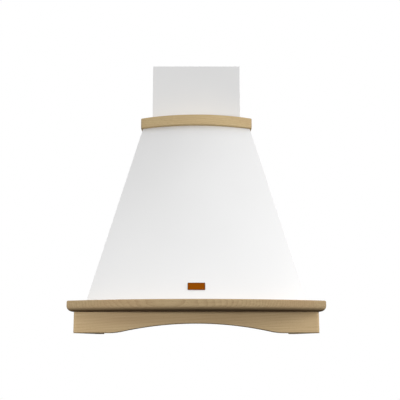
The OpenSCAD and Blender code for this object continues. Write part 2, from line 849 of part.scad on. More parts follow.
// Frame of a filter, with lips that close on the panel and two hinge knuckles at the back
module filter_frame(side) {
  half = filter_w / 2;
  back = filter_back;
  front = filter_back + filter_d;
  bar = filter_bar;
  color(steel_colour)
    translate([side * filter_x, 0, 0])
      difference() {
        union() {
          difference() {
            wall_box(-half, half, back, front, lip_z, lip_z + filter_h);
            wall_box(-half + bar, half - bar, back + bar, front - bar, lip_z - cut, lip_z + filter_h + cut);
            wall_box(-half + filter_ledge, half - filter_ledge, back + filter_ledge, front - filter_ledge,
              lip_z + lip_t, lip_z + filter_h + cut);
          }
          wall_box(-half - lip_side, half + lip_side, back, front + lip_front, lip_z, lip_z + lip_t);
          for (e = [-1, 1])
            filter_knuckle(e * (half - hinge_inset));
        }
        wall_box(-half + bar, half - bar, back + bar, front - bar, lip_z - cut, lip_z + lip_t + cut);
        for (e = [-1, 1])
          translate([e * (half - hinge_inset), -hinge_y, hinge_z])
            rotate([0, 90, 0])
              cylinder(h = hinge_knuckle_l + 2 * cut, r = hinge_pin_r + pin_play, center = true);
      }
}

module filter_knuckle(x) {
  half = hinge_knuckle_l / 2;
  translate([x - half, -hinge_y, hinge_z])
    rotate([0, 90, 0]) cylinder(h = hinge_knuckle_l, r = hinge_knuckle_r);
  wall_box(x - half, x + half, hinge_y, filter_back + filter_bar, hinge_z, lip_z + lip_t);
}

module filter_frame_left() {
  filter_frame(-1);
}

module filter_frame_right() {
  filter_frame(1);
}

// Pack of expanded metal that lies on the inner lip of its frame
module filter_mesh(side) {
  half = filter_w / 2 - filter_ledge - fit_gap;
  back = filter_back + filter_ledge + fit_gap;
  front = filter_back + filter_d - filter_ledge - fit_gap;
  color(zinc_colour)
    translate([side * filter_x, 0, 0])
      wall_box(-half, half, back, front, lip_z + lip_t, lip_z + filter_h - lip_t);
}

module filter_mesh_left() {
  filter_mesh(-1);
}

module filter_mesh_right() {
  filter_mesh(1);
}

// Finger pull under the front bar of a filter
module filter_pull(side) {
  front = filter_back + filter_d + lip_front;
  depth = filter_bar + lip_front - pull_t;
  color(plastic_colour)
    translate([side * filter_x, 0, 0]) {
      wall_box(-pull_w / 2, pull_w / 2, front - depth, front - lip_t, lip_z - pull_t / 2, lip_z);
      wall_box(-pull_w / 2, pull_w / 2, front - depth, front - depth + pull_t, lip_z - pull_h, lip_z);
    }
}

module filter_pull_left() {
  filter_pull(-1);
}

module filter_pull_right() {
  filter_pull(1);
}

// Lamps

module lamp_bezel(side) {
  wall = lamp_r - fit_gap - sheet_t;
  color(steel_colour)
    translate([side * lamp_x, -lamp_y, bezel_z])
      rotate_extrude() {
        translate([wall - lens_seat, 0]) square([lamp_r + bezel_flange - wall + lens_seat, bezel_t]);
        translate([wall, 0]) square([sheet_t, bezel_t + lens_t + bezel_sleeve]);
      }
}

module lamp_bezel_left() {
  lamp_bezel(-1);
}

module lamp_bezel_right() {
  lamp_bezel(1);
}

module lamp_lens(side) {
  color(lens_colour)
    translate([side * lamp_x, -lamp_y, panel_z]) cylinder(h = lens_t, r = lens_r);
}

module lamp_lens_left() {
  lamp_lens(-1);
}

module lamp_lens_right() {
  lamp_lens(1);
}

// Can that holds the lamp, with the lens across its mouth
module lamp_housing(side) {
  color(steel_colour)
    translate([side * lamp_x, -lamp_y, panel_z + lens_t])
      difference() {
        cylinder(h = lamp_h, r = lens_r);
        translate([0, 0, -cut]) cylinder(h = lamp_h - plate_t + cut, r = lens_r - plate_t);
      }
}

module lamp_housing_left() {
  lamp_housing(-1);
}

module lamp_housing_right() {
  lamp_housing(1);
}

// Controls

function button_x(i) = (i - (button_count + 1) / 2) * button_pitch;

module control_plate() {
  half = button_row + run_gap + control_end;
  hole = button_w + 2 * fit_gap;
  color(plastic_colour)
    difference() {
      wall_box(-half, half, lamp_y - control_d / 2, lamp_y + control_d / 2, control_z, panel_z);
      for (i = [1:button_count])
        translate([button_x(i), -lamp_y, control_z]) cube([hole, hole, 4 * control_t], center = true);
    }
}

// Box over the panel that holds the switches, open below
module switch_box() {
  half = button_row + run_gap + box_wall;
  y = control_d / 2 - sheet_t;
  wall = box_wall;
  color(plastic_colour)
    difference() {
      wall_box(-half, half, lamp_y - y, lamp_y + y, cornice_z, cornice_z + control_h);
      wall_box(-half + wall, half - wall, lamp_y - y + wall, lamp_y + y - wall, cornice_z - cut,
        cornice_z + control_space);
    }
}

// One push button, with a shoulder above the plate and a stem up to its switch
module button(i) {
  w = button_w;
  shoulder = w + 2 * button_shoulder;
  shoulder_z = panel_z + fit_gap;
  foot_z = control_z - button_travel - button_left;
  color(button_colour)
    translate([button_x(i), -lamp_y, 0]) {
      translate([-w / 2, -w / 2, foot_z]) cube([w, w, shoulder_z - foot_z]);
      translate([-shoulder / 2, -shoulder / 2, shoulder_z]) cube([shoulder, shoulder, sheet_t]);
      translate([0, 0, shoulder_z]) cylinder(h = sheet_t + button_stem, r = button_stem_r);
    }
}

module button_1() {
  button(1);
}

module button_2() {
  button(2);
}

module button_3() {
  button(3);
}

module button_4() {
  button(4);
}

module button_5() {
  button(5);
}

// Blower

// Outline of the scroll and its neck, seen along X, taken in by inset; x is the distance from the wall
module scroll_outline(inset, neck_top) {
  r_front = scroll_r - inset;
  r_bottom = scroll_r + scroll_step - inset;
  r_rear = scroll_r + 2 * scroll_step - inset;
  z_mid = axis_z - scroll_step / 2;
  intersection() {
    translate([front_y, z_mid]) circle(r_front, $fn = bow_fn);
    translate([front_y - cut / 2, z_mid]) square(far);
  }
  intersection() {
    translate([bottom_y, z_mid]) circle(r_bottom, $fn = bow_fn);
    translate([bottom_y - cut / 2, z_mid - far]) square(far);
  }
  intersection() {
    translate([bottom_y, z_mid + scroll_step]) circle(r_rear, $fn = bow_fn);
    translate([bottom_y - far, z_mid + scroll_step - far]) square(far);
  }
  translate([scroll_rear_y + inset, z_mid + scroll_step - cut])
    square([neck_w - 2 * inset, neck_top - z_mid - scroll_step + cut]);
  translate([bottom_y - cut, z_mid - cut]) square([front_y - bottom_y + 2 * cut, scroll_step + 2 * cut]);
}

// Turns an outline in (distance from the wall, height) into a solid between two places along X
module along_x(x0, x1) {
  translate([x0, 0, 0])
    rotate([90, 0, 90])
      mirror([1, 0, 0]) linear_extrude(height = x1 - x0) children();
}

// Band of the scroll, with a flange under the top plate
module blower_scroll() {
  half = scroll_w / 2;
  flange = neck_w + 2 * neck_flange;
  color(steel_colour)
    difference() {
      union() {
        difference() {
          along_x(-half, half) scroll_outline(0, top_under_z);
          along_x(-half - cut, half + cut) scroll_outline(sheet_t, top_under_z + cut);
        }
        difference() {
          translate([-flange / 2, -duct_y - flange / 2, top_under_z - sheet_t])
            cube([flange, flange, sheet_t]);
          along_x(-half, half) scroll_outline(sheet_t, top_under_z + cut);
        }
      }
      duct_screw_places() screw_hole(screw_l);
    }
}

// Side plate of the scroll with its inlet ring
module blower_side(side) {
  half = scroll_w / 2;
  color(steel_colour)
    difference() {
      union() {
        along_x(side > 0 ? half : -half - sheet_t, side > 0 ? half + sheet_t : -half)
          scroll_outline(0, top_under_z - sheet_t - fit_gap);
        translate([side * (half - inlet_lip / 2), -impeller_y, axis_z])
          rotate([0, 90, 0]) cylinder(h = inlet_lip, r = inlet_r + sheet_t, center = true);
      }
      translate([side * half, -impeller_y, axis_z])
        rotate([0, 90, 0]) cylinder(h = 2 * (inlet_lip + sheet_t + cut), r = inlet_r, center = true);
      if (side < 0)
        bracket_places(inlet_r + bracket_reach / 2) screw_hole(plate_t + sheet_t);
    }
}

module blower_side_left() {
  blower_side(-1);
}

module blower_side_right() {
  blower_side(1);
}

// Drum impeller: two rings and a disc joined by leaning blades, on a hub
module impeller() {
  half = impeller_w / 2;
  color(plastic_colour)
    translate([0, -impeller_y, axis_z])
      rotate([0, 90, 0])
        difference() {
          union() {
            for (x = [-half, half - impeller_ring_t])
              translate([0, 0, x])
                difference() {
                  cylinder(h = impeller_ring_t, r = impeller_r);
                  translate([0, 0, -cut])
                    cylinder(h = impeller_ring_t + 2 * cut, r = impeller_r - blade_d);
                }
            translate([0, 0, hub_x0 + hub_disc]) cylinder(h = plate_t, r = impeller_r);
            translate([0, 0, hub_x0]) cylinder(h = hub_l, r = hub_r);
            for (i = [0:blade_count - 1])
              rotate([0, 0, i * 360 / blade_count])
                translate([impeller_r - blade_d / 2, 0, 0])
                  rotate([0, 0, blade_lean])
                    cube([blade_d, blade_t, impeller_w - impeller_ring_t], center = true);
          }
          translate([0, 0, hub_x0 - cut]) cylinder(h = hub_l + 2 * cut, r = shaft_r + pin_play / 2);
        }
}

module motor() {
  r = motor_r;
  color(zinc_colour)
    translate([-motor_end_x, -impeller_y, axis_z])
      rotate([0, 90, 0])
        difference() {
          union() {
            cylinder(h = motor_l, r = r - motor_cap_step);
            translate([0, 0, motor_cap_l]) cylinder(h = motor_l - 2 * motor_cap_l, r = r);
          }
          translate([0, 0, motor_shaft_in - hub_gap]) cylinder(h = motor_l, r = shaft_r + pin_play);
          motor_holes();
        }
}

// Threaded holes in the motor's end for the bracket screws
module motor_holes() {
  for (a = arm_turns)
    rotate([0, 0, 180 - a])
      translate([motor_bolt_r, 0, -cut]) cylinder(h = motor_hole_l + cut, r = screw_r + pin_play);
}

module motor_shaft() {
  color(steel_colour)
    translate([shaft_x0, -impeller_y, axis_z])
      rotate([0, 90, 0]) cylinder(h = hub_x0 + hub_l + shaft_end - shaft_x0, r = shaft_r);
}

// Three-armed bracket across the left inlet
module motor_bracket() {
  w = bracket_arm_w;
  color(zinc_colour)
    translate([-motor_end_x, -impeller_y, axis_z])
      rotate([0, -90, 0])
        difference() {
          union() {
            cylinder(h = plate_t, r = motor_r - w / 2);
            for (a = arm_turns)
              rotate([0, 0, a])
                translate([0, -w / 2, 0]) cube([inlet_r + bracket_reach, w, plate_t]);
          }
          for (a = arm_turns)
            rotate([0, 0, a])
              for (x = [inlet_r + bracket_reach / 2, motor_bolt_r])
                translate([x, 0, -cut]) cylinder(h = plate_t + 2 * cut, r = screw_r + pin_play);
        }
}

// Round capacitor with the clip that holds it to the back plate
module capacitor() {
  r = capacitor_r;
  color(white_colour)
    translate([-side_x, -plate_t - r - sheet_t, side_z])
      difference() {
        union() {
          cylinder(h = capacitor_l, r = r);
          translate([-r - capacitor_clip_w, r / 2, capacitor_clip_h])
            cube([2 * (r + capacitor_clip_w), r / 2 + sheet_t, capacitor_clip_h]);
        }
        translate([0, 0, capacitor_l - plate_t]) cylinder(h = plate_t + cut, r = r - plate_t);
      }
}

// Cover over the terminals, open towards the back plate, with a hole for the lead on top
module terminal_box() {
  wall = box_wall;
  color(plastic_colour)
    translate([side_x - terminal_w / 2, -plate_t - terminal_d, side_z])
      difference() {
        cube([terminal_w, terminal_d, terminal_h]);
        translate([wall, wall, wall]) cube([terminal_w - 2 * wall, terminal_d, terminal_h - 2 * wall]);
        translate([terminal_w / 2, terminal_d / 2, terminal_h - wall - cut])
          cylinder(h = wall + 2 * cut, r = terminal_hole_r);
      }
}

// Duct

// Round spigot with its flange, a stop ring under the flaps and two bosses for their pin
module duct_spigot() {
  color(zinc_colour)
    difference() {
      union() {
        translate([0, -duct_y, deck_z]) cylinder(h = duct_flange_t, r = duct_r + duct_flange);
        translate([0, -duct_y, deck_z]) cylinder(h = duct_flange_t + duct_h, r = duct_r);
      }
      difference() {
        translate([0, -duct_y, deck_z - cut]) cylinder(h = duct_flange_t + duct_h + 2 * cut, r = duct_bore_r);
        translate([0, -duct_y, flap_pin_z - flap_t / 2 - fit_gap - flap_stop_t])
          difference() {
            cylinder(h = flap_stop_t, r = duct_r - sheet_t / 2);
            translate([0, 0, -cut]) cylinder(h = flap_stop_t + 2 * cut, r = duct_bore_r - flap_stop_w);
          }
        intersection() {
          translate([0, -duct_y, deck_z]) cylinder(h = duct_h, r = duct_r - sheet_t / 2);
          for (s = [-1, 1])
            translate([s * (duct_bore_r - flap_boss_l / 2 + cut), -duct_y, flap_pin_z])
              rotate([0, 90, 0]) cylinder(h = flap_boss_l + 2 * cut, r = flap_boss_r, center = true);
        }
      }
      translate([0, -duct_y, flap_pin_z])
        rotate([0, 90, 0]) cylinder(h = flap_pin_l + 2 * fit_gap, r = flap_pin_r + pin_play, center = true);
      duct_screw_places() screw_hole(screw_l);
    }
}

module valve_pin() {
  color(steel_colour)
    translate([0, -duct_y, flap_pin_z])
      rotate([0, 90, 0]) cylinder(h = flap_pin_l, r = flap_pin_r, center = true);
}

// One half-round flap; the two flaps are alike, turned half a turn about the duct's axis
module valve_flap() {
  knuckle_r = flap_pin_r + pin_play + flap_knuckle_wall;
  rim_r = duct_bore_r - run_gap;
  gap = knuckle_r + run_gap;
  length = flap_knuckle_l;
  difference() {
    union() {
      intersection() {
        translate([0, 0, -flap_t / 2]) cylinder(h = flap_t, r = rim_r);
        translate([-rim_r, -rim_r - gap, -flap_t]) cube([2 * rim_r, rim_r, 2 * flap_t]);
      }
      for (x = [-2 * length - 1.5 * run_gap, run_gap / 2]) {
        translate([x, 0, 0]) rotate([0, 90, 0]) cylinder(h = length, r = knuckle_r);
        translate([x, -gap - cut, -flap_t / 2]) cube([length, gap + cut, flap_t]);
      }
    }
    rotate([0, 90, 0]) cylinder(h = 2 * rim_r, r = flap_pin_r + pin_play, center = true);
    for (s = [-1, 1])
      translate([s * duct_bore_r, 0, 0])
        cube([2 * (flap_boss_l + run_gap), 2 * (flap_boss_r + run_gap), 4 * flap_t], center = true);
  }
}

module valve_flap_front() {
  color(steel_colour) translate([0, -duct_y, flap_pin_z]) valve_flap();
}

module valve_flap_rear() {
  color(steel_colour) translate([0, -duct_y, flap_pin_z]) rotate([0, 0, 180]) valve_flap();
}

// Cable gland in the top plate, with a nut below and a domed cap above
module cable_gland() {
  foot_z = top_under_z - gland_nut_h - gland_thread_end;
  cap_z = deck_z + gland_nut_h;
  color(plastic_colour)
    translate([gland_x, -gland_y, 0])
      difference() {
        union() {
          for (z = [top_under_z - gland_nut_h, deck_z])
            translate([0, 0, z]) cylinder(h = gland_nut_h, r = gland_nut_r, $fn = 6);
          translate([0, 0, foot_z]) cylinder(h = cap_z - foot_z, r = gland_r);
          translate([0, 0, cap_z]) cylinder(h = gland_cap_h, r1 = gland_r + gland_nut_rim / 2, r2 = gland_r);
        }
        translate([0, 0, foot_z - cut])
          cylinder(h = cap_z + gland_cap_h - foot_z + 2 * cut, r = gland_bore_r);
      }
}

// Screws, as groups of like pieces

function side_screw_y(i) = side_screw_first + i * side_screw_pitch;

// Screws from the canopy's lower edge down into the cornice
module canopy_screw_places() {
  z = shell_z + sheet_t;
  inset = sheet_t + shell_flange / 2;
  for (s = [-1, 1], i = [0:2])
    translate([s * (shell_half(shell_z) - inset), -side_screw_y(i), z]) children();
  for (x = [-1, 0, 1] * front_screw_x)
    translate([x, shell_axis_y - sqrt(pow(shell_r_foot - inset, 2) - x * x), z]) children();
}

module canopy_screws() {
  color(steel_colour)
    canopy_screw_places() screw(screw_l);
}

// Screws from the panel's rim out into the side boards
module panel_screw_places(side) {
  x = skirt_w / 2 - board_t - fit_gap - sheet_t;
  for (i = [0:2])
    translate([side * x, -side_screw_y(i), cornice_z - panel_rim / 2])
      rotate([0, -side * 90, 0]) children();
}

module panel_screws() {
  color(steel_colour)
    for (s = [-1, 1])
      panel_screw_places(s) screw(screw_l);
}

// Bolts through the spigot's flange, the top plate and the flange of the scroll's neck
module duct_screw_places() {
  for (a = [0:90:270])
    translate([0, -duct_y, deck_z + duct_flange_t])
      rotate([0, 0, a]) translate([duct_bolt_r, 0, 0]) children();
}

module duct_screws() {
  nut_z = -duct_flange_t - plate_t - sheet_t - nut_h;
  color(steel_colour)
    duct_screw_places() {
      screw(screw_end - nut_z);
      translate([0, 0, nut_z]) cylinder(h = nut_h, r = screw_head_r, $fn = 6);
    }
}

// Places on the outer face of the motor bracket's arms, at one distance from the shaft
module bracket_places(r) {
  for (a = arm_turns)
    translate([-motor_end_x - plate_t, -impeller_y, axis_z])
      rotate([0, -90, 0]) rotate([0, 0, a]) translate([r, 0, 0]) children();
}

// Screws from the bracket into the scroll's side plate and into the motor
module motor_screws() {
  color(steel_colour) {
    bracket_places(inlet_r + bracket_reach / 2) screw(plate_t + sheet_t + screw_end);
    bracket_places(motor_bolt_r) screw(plate_t + motor_hole_l - screw_end);
  }
}

valance_front();
skirt_left();
skirt_right();
corner_blocks();
cornice_front();
cornice_left();
cornice_right();
collar_front();
collar_left();
collar_right();
body_shell();
back_plate();
top_plate();
nameplate();
chimney_outer();
chimney_inner();
chimney_strip();
bottom_panel();
filter_frame_left();
filter_frame_right();
filter_mesh_left();
filter_mesh_right();
filter_pull_left();
filter_pull_right();
filter_magnets();
hinge_pins();
lamp_bezel_left();
lamp_bezel_right();
lamp_lens_left();
lamp_lens_right();
lamp_housing_left();
lamp_housing_right();
control_plate();
switch_box();
button_1();
button_2();
button_3();
button_4();
button_5();
blower_scroll();
blower_side_left();
blower_side_right();
impeller();
motor();
motor_shaft();
motor_bracket();
capacitor();
terminal_box();
duct_spigot();
valve_flap_front();
valve_flap_rear();
valve_pin();
cable_gland();
canopy_screws();
panel_screws();
duct_screws();
motor_screws();
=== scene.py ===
import math

import bpy
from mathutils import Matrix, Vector


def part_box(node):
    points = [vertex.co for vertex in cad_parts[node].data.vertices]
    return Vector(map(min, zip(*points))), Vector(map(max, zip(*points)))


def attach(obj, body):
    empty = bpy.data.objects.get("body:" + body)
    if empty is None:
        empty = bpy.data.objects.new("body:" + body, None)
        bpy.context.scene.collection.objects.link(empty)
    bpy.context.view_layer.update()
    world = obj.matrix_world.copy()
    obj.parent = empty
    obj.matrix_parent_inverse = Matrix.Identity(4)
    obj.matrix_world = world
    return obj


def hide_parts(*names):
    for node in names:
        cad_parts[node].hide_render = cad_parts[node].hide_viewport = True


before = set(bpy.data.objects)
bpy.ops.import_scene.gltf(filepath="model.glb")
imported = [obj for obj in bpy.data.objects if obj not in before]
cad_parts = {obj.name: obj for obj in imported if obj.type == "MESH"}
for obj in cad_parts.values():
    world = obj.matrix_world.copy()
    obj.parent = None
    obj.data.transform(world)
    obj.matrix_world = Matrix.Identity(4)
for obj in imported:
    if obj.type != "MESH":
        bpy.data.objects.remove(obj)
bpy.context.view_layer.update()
scene = bpy.context.scene
mm = 0.001


# The view: the camera stands 2.1 m in front of the hood's wall, just below the hood's lower edge, and
# looks up a little at it.
camera_tilt = 10.8
bpy.ops.object.camera_add(location=(0, -2.127, -0.341),
                          rotation=(math.radians(90 + camera_tilt), 0, 0))
camera = bpy.context.object
camera.name = "photo_camera"
camera.data.sensor_width = 36
camera.data.lens = 65.1
camera.data.shift_x = 0.0091
scene.camera = camera
scene.view_settings.view_transform = "Standard"


# The studio: the hood hangs 1.6 m over a plain pale floor. The sky light is soft and comes from above.
# One softbox stands far round on the right, another in front on the left, and a low strip in front
# lights the base.
def linear(hex_colour):
    """An sRGB hex colour as the linear colour that a shader takes."""
    values = [int(hex_colour[i:i + 2], 16) / 255 for i in (1, 3, 5)]
    return [v / 12.92 if v <= 0.04045 else ((v + 0.055) / 1.055) ** 2.4 for v in values] + [1]


def add_node(tree, kind, feeds=None, **settings):
    """Adds a node with its settings. A feed is a value, or a socket that is linked to that input."""
    node = tree.nodes.new("ShaderNode" + kind)
    for name, value in settings.items():
        setattr(node, name, value)
    for place, value in (feeds or {}).items():
        if isinstance(value, bpy.types.NodeSocket):
            tree.links.new(value, node.inputs[place])
        else:
            node.inputs[place].default_value = value
    return node


def eye_rays(tree):
    """1 for a ray from the eye, or by way of polished metal or glass, and 0 for the light itself."""
    rays = add_node(tree, "LightPath").outputs
    seen = add_node(tree, "Math", {0: rays["Is Camera Ray"], 1: rays["Is Glossy Ray"]},
                    operation="MAXIMUM").outputs[0]
    return add_node(tree, "Math", {0: seen, 1: rays["Is Transmission Ray"]},
                    operation="MAXIMUM").outputs[0]


floor_drop, floor_side = 1.93, 30
bpy.ops.mesh.primitive_plane_add(size=floor_side, location=(0, 0, -floor_drop))
floor = bpy.context.object
floor.name = "studio_floor"

# Matt paint, faintly clouded: near white to the eye, and grey to the light, so that little comes up
# from it.
cloud_scale, floor_glow = 1.5, 0.3
floor_paint = bpy.data.materials.new("matt_floor_paint")
floor_paint.use_nodes = True
tree = floor_paint.node_tree
surface = tree.nodes["Principled BSDF"]
surface.inputs["Roughness"].default_value = 0.8
surface.inputs["Emission Color"].default_value = linear("#ffffff")
seen = eye_rays(tree)
clouds = add_node(tree, "TexNoise", {"Scale": cloud_scale, "Detail": 2}).outputs["Fac"]
pale = add_node(tree, "Mix", {0: clouds, 6: linear("#f4f4f4"), 7: linear("#fafafa")},
                data_type="RGBA").outputs[2]
paint = add_node(tree, "Mix", {0: seen, 6: linear("#3c3c3b"), 7: pale}, data_type="RGBA").outputs[2]
tree.links.new(paint, surface.inputs["Base Color"])
glow = add_node(tree, "Math", {0: seen, 1: floor_glow}, operation="MULTIPLY").outputs[0]
tree.links.new(glow, surface.inputs["Emission Strength"])
floor.data.materials.append(floor_paint)

# The sky's light grows with height, and the eye sees plain white behind the hood.
sky_strength, white_strength = 1.04, 1
world = bpy.data.worlds.new("studio")
world.use_nodes = True
scene.world = world
tree = world.node_tree
tree.nodes.clear()
direction = add_node(tree, "TexCoord").outputs["Generated"]
height = add_node(tree, "SeparateXYZ", {0: direction}).outputs["Z"]
sky_level = add_node(tree, "MapRange", {0: height, 1: 0, 2: 1, 3: 0, 4: sky_strength}).outputs[0]
sky = add_node(tree, "Background", {"Color": linear("#ffffff"), "Strength": sky_level}).outputs[0]
backdrop = add_node(tree, "Background", {"Color": linear("#ffffff"),
                                         "Strength": white_strength}).outputs[0]
both = add_node(tree, "MixShader", {0: eye_rays(tree), 1: sky, 2: backdrop}).outputs[0]
add_node(tree, "OutputWorld", {"Surface": both})

light_aim = Vector((0, -0.2, -0.05))
for name, place, width, height, power in (
    ("right_softbox", (1.7, -0.9, 0.2), 0.8, 0.8, 18.3),
    ("left_softbox", (-1.5, -1.8, 0.2), 0.7, 0.7, 3.4),
    ("low_strip", (-0.7, -1.9, -0.25), 1.2, 0.16, 13.4),
):
    turn = (light_aim - Vector(place)).to_track_quat("-Z", "Y").to_euler()
    bpy.ops.object.light_add(type="AREA", location=place, rotation=turn)
    lamp = bpy.context.object
    lamp.name = name
    lamp.data.shape = "RECTANGLE"
    lamp.data.size = width
    lamp.data.size_y = height
    lamp.data.energy = power
    lamp.visible_camera = False


# The base: skirt boards under a cornice of three mitred boards, all solid beech, planed, edges broken
# with sandpaper, and matt lacquered. They are glued, and held by the blocks in the skirt's corners.
def make_active(piece):
    """Selects one piece alone, for the operators."""
    bpy.ops.object.select_all(action="DESELECT")
    piece.select_set(True)
    bpy.context.view_layer.objects.active = piece


def with_modifier(piece, kind, **settings):
    """Adds a modifier with its settings to a piece and applies it."""
    make_active(piece)
    modifier = piece.modifiers.new(kind.lower(), kind)
    for name, value in settings.items():
        setattr(modifier, name, value)
    bpy.ops.object.modifier_apply(modifier=modifier.name)


def smoothed(piece, sharp=50):
    """Curves shade smoothly, and large flat faces stay flat, because a flat face's own normal outweighs
    its neighbours'. A fold of more than sharp degrees stays a fold."""
    make_active(piece)
    bpy.ops.object.shade_smooth_by_angle(angle=math.radians(sharp))
    with_modifier(piece, "WEIGHTED_NORMAL", keep_sharp=True, weight=100)


def copied(node, name):
    """A new object with the shape of a CAD node, its triangles joined again into whole faces."""
    piece = bpy.data.objects.new(name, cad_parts[node].data.copy())
    scene.collection.objects.link(piece)
    piece.data.materials.clear()
    make_active(piece)
    bpy.ops.mesh.customdata_custom_splitnormals_clear()
    bpy.ops.object.mode_set(mode="EDIT")
    bpy.ops.mesh.select_all(action="SELECT")
    bpy.ops.mesh.remove_doubles(threshold=0.001 * mm)
    bpy.ops.mesh.dissolve_limited(angle_limit=math.radians(0.2))
    bpy.ops.object.mode_set(mode="OBJECT")
    return piece


def broken_edges(piece, width, steps=3, angle=30):
    """Rounds a piece's edges by width mm, where they are sharper than angle degrees."""
    with_modifier(piece, "BEVEL", width=width * mm, segments=steps, angle_limit=math.radians(angle),
                  harden_normals=False)


def fitted(piece, body, slot_name, finish, *nodes):
    """Gives a finished piece its material, and puts it in the place of its CAD nodes."""
    if not piece.data.materials:
        piece.data.materials.append(finish)
    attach(piece, body)
    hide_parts(*nodes)


def new_finish(name, **values):
    """A material with its shader's plain values set: the material, its tree, shader and coordinates."""
    material = bpy.data.materials.new(name)
    material.use_nodes = True
    tree = material.node_tree
    surface = tree.nodes["Principled BSDF"]
    for socket, value in values.items():
        surface.inputs[socket.replace("_", " ")].default_value = value
    return material, tree, surface, add_node(tree, "TexCoord").outputs["Object"]


def beech(name, early, late, grain, ring_turn, ring_gap, ring_share=0.35, shade_depth=0.86):
    """Matt lacquered solid beech: fine straight fibres, faint growth rings, and the short dark dashes
    of its rays. grain turns the board's length to X, ring_turn then turns the rings' normal to Y, both
    in degrees, ring_gap is the rings' spacing in mm, and the last argument is how far painted shade
    darkens its underside."""
    material, tree, surface, place = new_finish(name, IOR=1.5, Specular_IOR_Level=0.05)
    board = add_node(tree, "Mapping", {
        "Vector": place, "Rotation": [math.radians(a) for a in grain]}).outputs[0]

    # The rings drift by 5 mm to each side, over 200 mm of length and 55 mm of width.
    drift_reach = 5
    slow = add_node(tree, "Mapping", {"Vector": board, "Scale": (5, 18, 18)}).outputs[0]
    drift = add_node(tree, "TexNoise", {"Vector": slow, "Scale": 1, "Detail": 2}).outputs["Color"]
    centred = add_node(tree, "VectorMath", {0: drift, 1: (0.5, 0.5, 0.5)},
                       operation="SUBTRACT").outputs[0]
    reach = (0, 2 * drift_reach * mm, 2 * drift_reach * mm)
    bent = add_node(tree, "VectorMath", {0: centred, 1: reach, 2: board},
                    operation="MULTIPLY_ADD").outputs[0]
    turned = add_node(tree, "Mapping", {
        "Vector": bent, "Rotation": [math.radians(a) for a in ring_turn]}).outputs[0]

    # A saw wave at scale 1 repeats every 314 mm: pale early wood darkens slowly to the late wood's
    # line.
    wave_repeat, line_sharpness = 314, 2.4
    rings = add_node(tree, "TexWave", {
        "Vector": turned, "Scale": wave_repeat / ring_gap, "Distortion": 0.8, "Detail": 2,
        "Detail Scale": 0.4}, wave_type="BANDS", bands_direction="Y", wave_profile="SAW").outputs["Fac"]
    late_wood = add_node(tree, "Math", {0: rings, 1: line_sharpness}, operation="POWER").outputs[0]

    # Fibres 1 to 2 mm wide and 60 mm long.
    fibre_place = add_node(tree, "Mapping", {"Vector": board, "Scale": (9, 380, 380)}).outputs[0]
    fibres = add_node(tree, "TexNoise", {"Vector": fibre_place, "Scale": 1, "Detail": 3}).outputs["Fac"]

    # Broad bands of slightly redder heartwood, some 40 mm wide.
    band_place = add_node(tree, "Mapping", {"Vector": bent, "Scale": (3, 26, 26)}).outputs[0]
    bands = add_node(tree, "TexNoise", {"Vector": band_place, "Scale": 1, "Detail": 1}).outputs["Fac"]

    # Ray dashes 4 mm long and 1 mm high, a little coarser than real ones so that they show.
    dash_place = add_node(tree, "Mapping", {"Vector": board, "Scale": (230, 1000, 1000)}).outputs[0]
    dashes = add_node(tree, "TexNoise", {"Vector": dash_place, "Scale": 1, "Detail": 1}).outputs["Fac"]

    # How much each of them darkens the wood. Dashes and heartwood show only where their noise is high.
    fibre_share, fibre_start, dash_share, heart_share = 0.7, -0.15, 0.3, 0.25
    dash = add_node(tree, "MapRange", {0: dashes, 1: 0.6, 2: 0.7, 3: 0, 4: dash_share}).outputs[0]
    tone = add_node(tree, "Math", {0: fibres, 1: fibre_share, 2: fibre_start},
                    operation="MULTIPLY_ADD").outputs[0]
    tone = add_node(tree, "Math", {0: late_wood, 1: ring_share, 2: tone},
                    operation="MULTIPLY_ADD").outputs[0]
    tone = add_node(tree, "Math", {0: tone, 1: dash}, operation="ADD", use_clamp=True).outputs[0]
    wood = add_node(tree, "Mix", {0: tone, 6: linear(early), 7: linear(late)},
                    data_type="RGBA").outputs[2]
    heart = add_node(tree, "MapRange", {0: bands, 1: 0.4, 2: 0.7, 3: 0, 4: heart_share}).outputs[0]
    wood = add_node(tree, "Mix", {0: heart, 6: wood, 7: linear("#b08b68")}, data_type="RGBA").outputs[2]

    # What faces down isn't lacquered, so it is rough, and painted shade darkens its colour to a dark
    # # brown where shade falls under the boards. Both come in slowly as a round edge turns from the
    # side to face down.
    side_on, face_down = -0.35, -0.95
    lacquered_rough, bare_rough, fibre_rough = 0.62, 1, 0.15
    normal = add_node(tree, "TexCoord").outputs["Normal"]
    turn = add_node(tree, "SeparateXYZ", {0: normal}).outputs["Z"]
    # Painted shade: the colour darkens towards dark brown as the face turns down.
    painted_underside_shade = add_node(tree, "MapRange", {
        0: turn, 1: side_on, 2: face_down, 3: 0, 4: shade_depth}).outputs[0]
    wood = add_node(tree, "Mix", {0: painted_underside_shade, 6: wood, 7: linear("#422d16")},
                    data_type="RGBA").outputs[2]
    tree.links.new(wood, surface.inputs["Base Color"])
    bare = add_node(tree, "MapRange", {
        0: turn, 1: side_on, 2: face_down, 3: lacquered_rough, 4: bare_rough}).outputs[0]
    sheen = add_node(tree, "Math", {0: fibres, 1: fibre_rough, 2: bare}, operation="MULTIPLY_ADD",
                     use_clamp=True).outputs[0]
    tree.links.new(sheen, surface.inputs["Roughness"])
    pores = add_node(tree, "Bump", {"Strength": 0.3, "Distance": 0.08 * mm, "Height": fibres},
                     invert=True).outputs[0]
    tree.links.new(pores, surface.inputs["Normal"])
    return material


